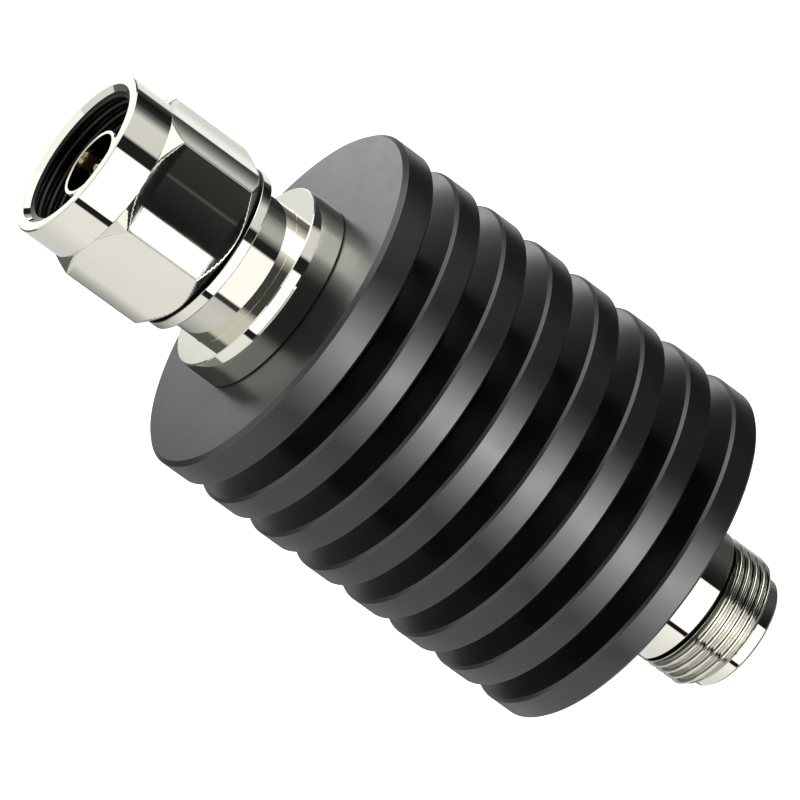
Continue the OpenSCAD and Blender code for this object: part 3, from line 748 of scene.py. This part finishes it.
FLOOR_HALF, FLOOR_POINTS, FLOOR_GLOW = 3, 9, 0.9
paper_tones = {
    "matt white floor paper": ("#EFEFED", "#F4F4F2"),
    "tent paper lit from behind": ("#000000", "#010101"),
}
papers = {}
for name, (dark, pale) in paper_tones.items():
    papers[name], tree, shader, place = start_material(name)
    tooth = add_node(
        tree, "ShaderNodeTexNoise", None, {"Vector": place, "Scale": per_mm(40), "Detail": 2.0})
    shade = add_node(
        tree, "ShaderNodeMix", {"data_type": "RGBA"},
        {0: tooth.outputs["Fac"], 6: linear(dark), 7: linear(pale)})
    glow = add_node(tree, "ShaderNodeAttribute", {"attribute_name": "glow"})
    tree.links.new(shade.outputs[2], shader.inputs["Base Color"])
    tree.links.new(glow.outputs["Fac"], shader.inputs["Emission Strength"])
    shader.inputs["Emission Color"].default_value = linear("#FFFFFF")
    shader.inputs["Roughness"].default_value = 0.9
    shader.inputs["Specular IOR Level"].default_value = 0.0
    papers[name].cycles.emission_sampling = "NONE"
floor_paper, tent_paper = papers.values()
span = np.linspace(-FLOOR_HALF, FLOOR_HALF, FLOOR_POINTS)
floor_points = np.stack([*np.meshgrid(span, span), np.zeros((FLOOR_POINTS, FLOOR_POINTS))], -1)
floor = stage_sheet("floor", floor_points, FLOOR_GLOW, floor_paper)
floor.visible_glossy = False
print("papers:", list(papers))

# %% [markdown]
# The camera looks down, so an upright wall mirrors paper that hangs lower than itself, and a cone or
# a front face mirrors paper that hangs higher. The tent is made of rings, one for each kind of
# surface. Each ring has its brightness at some angles, in degrees from the camera towards its left,
# and fades from one angle to the next. The rim's ring follows the front ring's at first, and the
# ends of the hexagon are its flats with a black middle.

# %% Brightness of the tent, ring by ring
ring = [
    (-180, 1.0), (-138, 1.05), (-134, 0.08), (-120, 0.01), (-106, 0.03), (-98, 0.2), (-86, 0.98),
    (-54, 0.95), (-50, 0.02), (-35, 0.02), (-33, 1.8), (42, 1.8), (43, 0.02), (50, 0.02),
    (51.5, 1.17), (84, 1.14), (110, 0.93), (150, 0.78), (180, 0.65),
]
rim = ring[:-3] + [(100, 0.98), (120, 0.66), (132, 0.5), (144, 0.3), (180, 0.18)]
gap = [(angle, 0.5 * glow + 0.04) for angle, glow in ring]
hexagon_flats = [
    (-180, 0.6), (-144, 0.9), (-143, 1.2), (-142.3, 1.2), (-142.2, 0.04), (-141.5, 0.12),
    (-140.9, 0.25), (-140.3, 0.43), (-139.6, 0.72), (-138.8, 0.75), (-135, 0.05), (-95, 0.05),
    (-88, 0.95), (-54, 0.9), (-50, 0.02), (-28, 0.05), (-25.2, 0.035), (-25, 0.12),
    (-24.8, 0.035), (-22, 0.012), (-21.7, 0.012), (-21.65, 1.8), (-19.5, 1.8), (-17, 0.95),
    (10, 0.7), (40, 1.0), (43, 0.1), (50, 0.1), (52, 1.1), (92, 1.12), (96.6, 1.05),
    (97.6, 0.55), (99, 0.3), (116, 0.3), (180, 0.6),
]
hexagon_ends = [(angle, 0.012 if -30 < angle < 45 else glow) for angle, glow in hexagon_flats]
faces = [
    (-180, 1.04), (-176.2, 1.04), (-175.2, 2.2), (-163, 2.4), (-157, 0.8), (-150, 0.3),
    (-130, 0.2), (-115, 0.8), (-104, 1.5), (-98, 3.5), (-66, 3.5), (-60, 1.5), (-48, 0.6),
    (-36, 0.1), (36, 0.1), (44, 0.8), (50, 1.1), (105, 1.1), (115, 0.2), (162, 0.15),
    (170, 0.25), (175, 0.8), (177, 1.04), (180, 1.04),
]
land = [
    (angle, 1.5 if abs(angle) >= 175 else 0.02 if -155 < angle < -125 else glow)
    for angle, glow in faces
]
cones = [
    (-180, 0.2), (-156, 0.2), (-150, 1.6), (-54, 1.6), (-48, 0.02), (46, 0.02), (52, 1.0),
    (150, 1.0), (156, 0.2), (180, 0.2),
]
neck = [
    (-180, 0.06), (-132, 0.03), (-108, 0.11), (-96, 0.35), (-84, 0.57), (-70, 0.58), (-60, 0.2),
    (-54, 0.02), (-42, 0.02), (-38, 1.5), (40, 1.5), (43, 0.05), (49, 0.05), (52, 0.75),
    (72, 0.85), (96, 0.82), (132, 0.5), (144, 0.38), (156, 0.22), (180, 0.15),
]
fins = [
    (-180, 0.5), (-168, 0.45), (-160, 0.8), (-152, 0.85), (-146, 0.3), (-138, 0.03), (-120, 0),
    (-95, 0.01), (-90, 0.05), (-42, 0.05), (-38, 1.05), (-26, 1.05), (-22, 3.7), (-10, 4.9),
    (-6, 8.6), (6, 7.8), (9, 4), (22, 3.4), (28, 1.05), (42, 1.05), (43, 0.02), (50, 0.02),
    (52, 0.62), (90, 0.58), (110, 0.5), (130, 0.42), (140, 0.5), (155, 0.35), (170, 0.1),
    (180, 0.1),
]
jack = [
    (-180, 0.1), (-156, 0.28), (-144, 0.24), (-120, 0.08), (-84, 0.09), (-60, 0.03), (-37, 0.01),
    (-35, 1.7), (42, 1.7), (44, 0.01), (50, 0.01), (52, 1.35), (84, 1.14), (120, 1.0), (146, 1.0),
    (154, 0.3), (180, 0.05),
]

# %% [markdown]
# Each ring hangs between two levels in millimetres. A wall that faces sideways mirrors paper a
# little lower than one that faces the camera, so all levels dip towards the back. A lid closes the
# tent; in front it is cut back, which leaves a dark opening above the camera.

# %% Tent
TENT_RADIUS, TENT_COLUMNS, TENT_DIP, DIP_POWER = 200, 7201, 0.7, 1.5
LID_FRONT, LID_OPENING, LID_GLOW = 128, 20, 1.4
tent = {
    "jack": (-900, -63, jack),
    "fins": (-63, 1.5, fins),
    "neck": (1.5, 7, neck),
    "rim": (7, 8.65, rim),
    "rear end of the hexagon": (8.65, 10.3, hexagon_ends),
    "hexagon": (10.3, 21.7, hexagon_flats),
    "front end of the hexagon": (21.7, 23.4, hexagon_ends),
    "ring": (23.4, 33, ring),
    "gap": (33, 60, gap),
    "faces": (60, 144, faces),
    "nut's land": (144, 180, land),
    "cones": (180, 420, cones),
}
turn = np.linspace(-180, 180, TENT_COLUMNS)
angle = FACING - np.radians(turn)
x, y = np.cos(angle), np.sin(angle)
dip = TENT_DIP * (1 - np.cos(np.radians(turn))) ** DIP_POWER
sheets = []
for name, (low, high, stops) in tent.items():
    level = np.array([[low], [high]]) - dip
    points = np.stack(np.broadcast_arrays(TENT_RADIUS * x, TENT_RADIUS * y, level), -1) * MM
    glow = np.interp(turn, *np.transpose(stops))
    sheets.append(stage_sheet(f"tent for the {name}", points, glow, tent_paper))
past_opening = np.clip(np.abs(turn) / LID_OPENING - 1, 0, 1)
reach = np.array([[0], [1]]) * (LID_FRONT + (TENT_RADIUS - LID_FRONT) * past_opening)
lid_level = max(high for low, high, stops in tent.values())
lid_points = np.stack(np.broadcast_arrays(reach * x, reach * y, lid_level), -1) * MM
sheets.append(stage_sheet("tent lid", lid_points, LID_GLOW, tent_paper))
for sheet in sheets:
    sheet.visible_camera = sheet.visible_shadow = sheet.visible_diffuse = False
print("tent rings:", len(tent))

# %% [markdown]
# Two weak softboxes add a little direction to the light on what isn't a mirror. They are left out of
# reflections, where their square outlines would show. The world fades from pale at the horizon to
# dark overhead and fills whatever the tent leaves open. The plain Standard transform keeps the
# papers' values as they are, so white stays white.


# %% Fill lights and world
def softbox(name, azimuth, elevation, distance, size, watts):
    """Square area light aimed at the part; azimuth is measured as for the tent, lengths in metres."""
    light = bpy.data.lights.new(name, "AREA")
    light.size, light.energy = size, watts
    lamp = bpy.data.objects.new(name, light)
    angle, rise = FACING - np.radians(azimuth), np.radians(elevation)
    towards = Vector((np.cos(angle) * np.cos(rise), np.sin(angle) * np.cos(rise), np.sin(rise)))
    lamp.location = towards * distance + Vector((0, 0, AIM_HEIGHT * MM))
    lamp.rotation_euler = towards.to_track_quat("Z", "Y").to_euler()
    lamp.visible_camera = lamp.visible_glossy = False
    bpy.context.scene.collection.objects.link(lamp)
    return lamp


lamps = [
    softbox("side softbox", azimuth=-100, elevation=40, distance=0.8, size=0.6, watts=4),
    softbox("front softbox", azimuth=25, elevation=50, distance=1.0, size=0.8, watts=4),
]
world = bpy.data.worlds.new("studio")
bpy.context.scene.world = world
world.use_nodes = True
sky = world.node_tree.nodes["Background"]
way = add_node(world.node_tree, "ShaderNodeTexCoord").outputs["Generated"]
rise = add_node(world.node_tree, "ShaderNodeSeparateXYZ", None, {0: way})
shade = add_node(
    world.node_tree, "ShaderNodeMapRange", None,
    {"Value": rise.outputs["Z"], "From Min": 0.2, "From Max": 0.9, "To Min": 0.3, "To Max": 0.06})
world.node_tree.links.new(shade.outputs[0], sky.inputs["Strength"])
sky.inputs["Color"].default_value = linear("#FCFCFC")
bpy.context.scene.view_settings.view_transform = "Standard"
print("softboxes:", len(lamps))
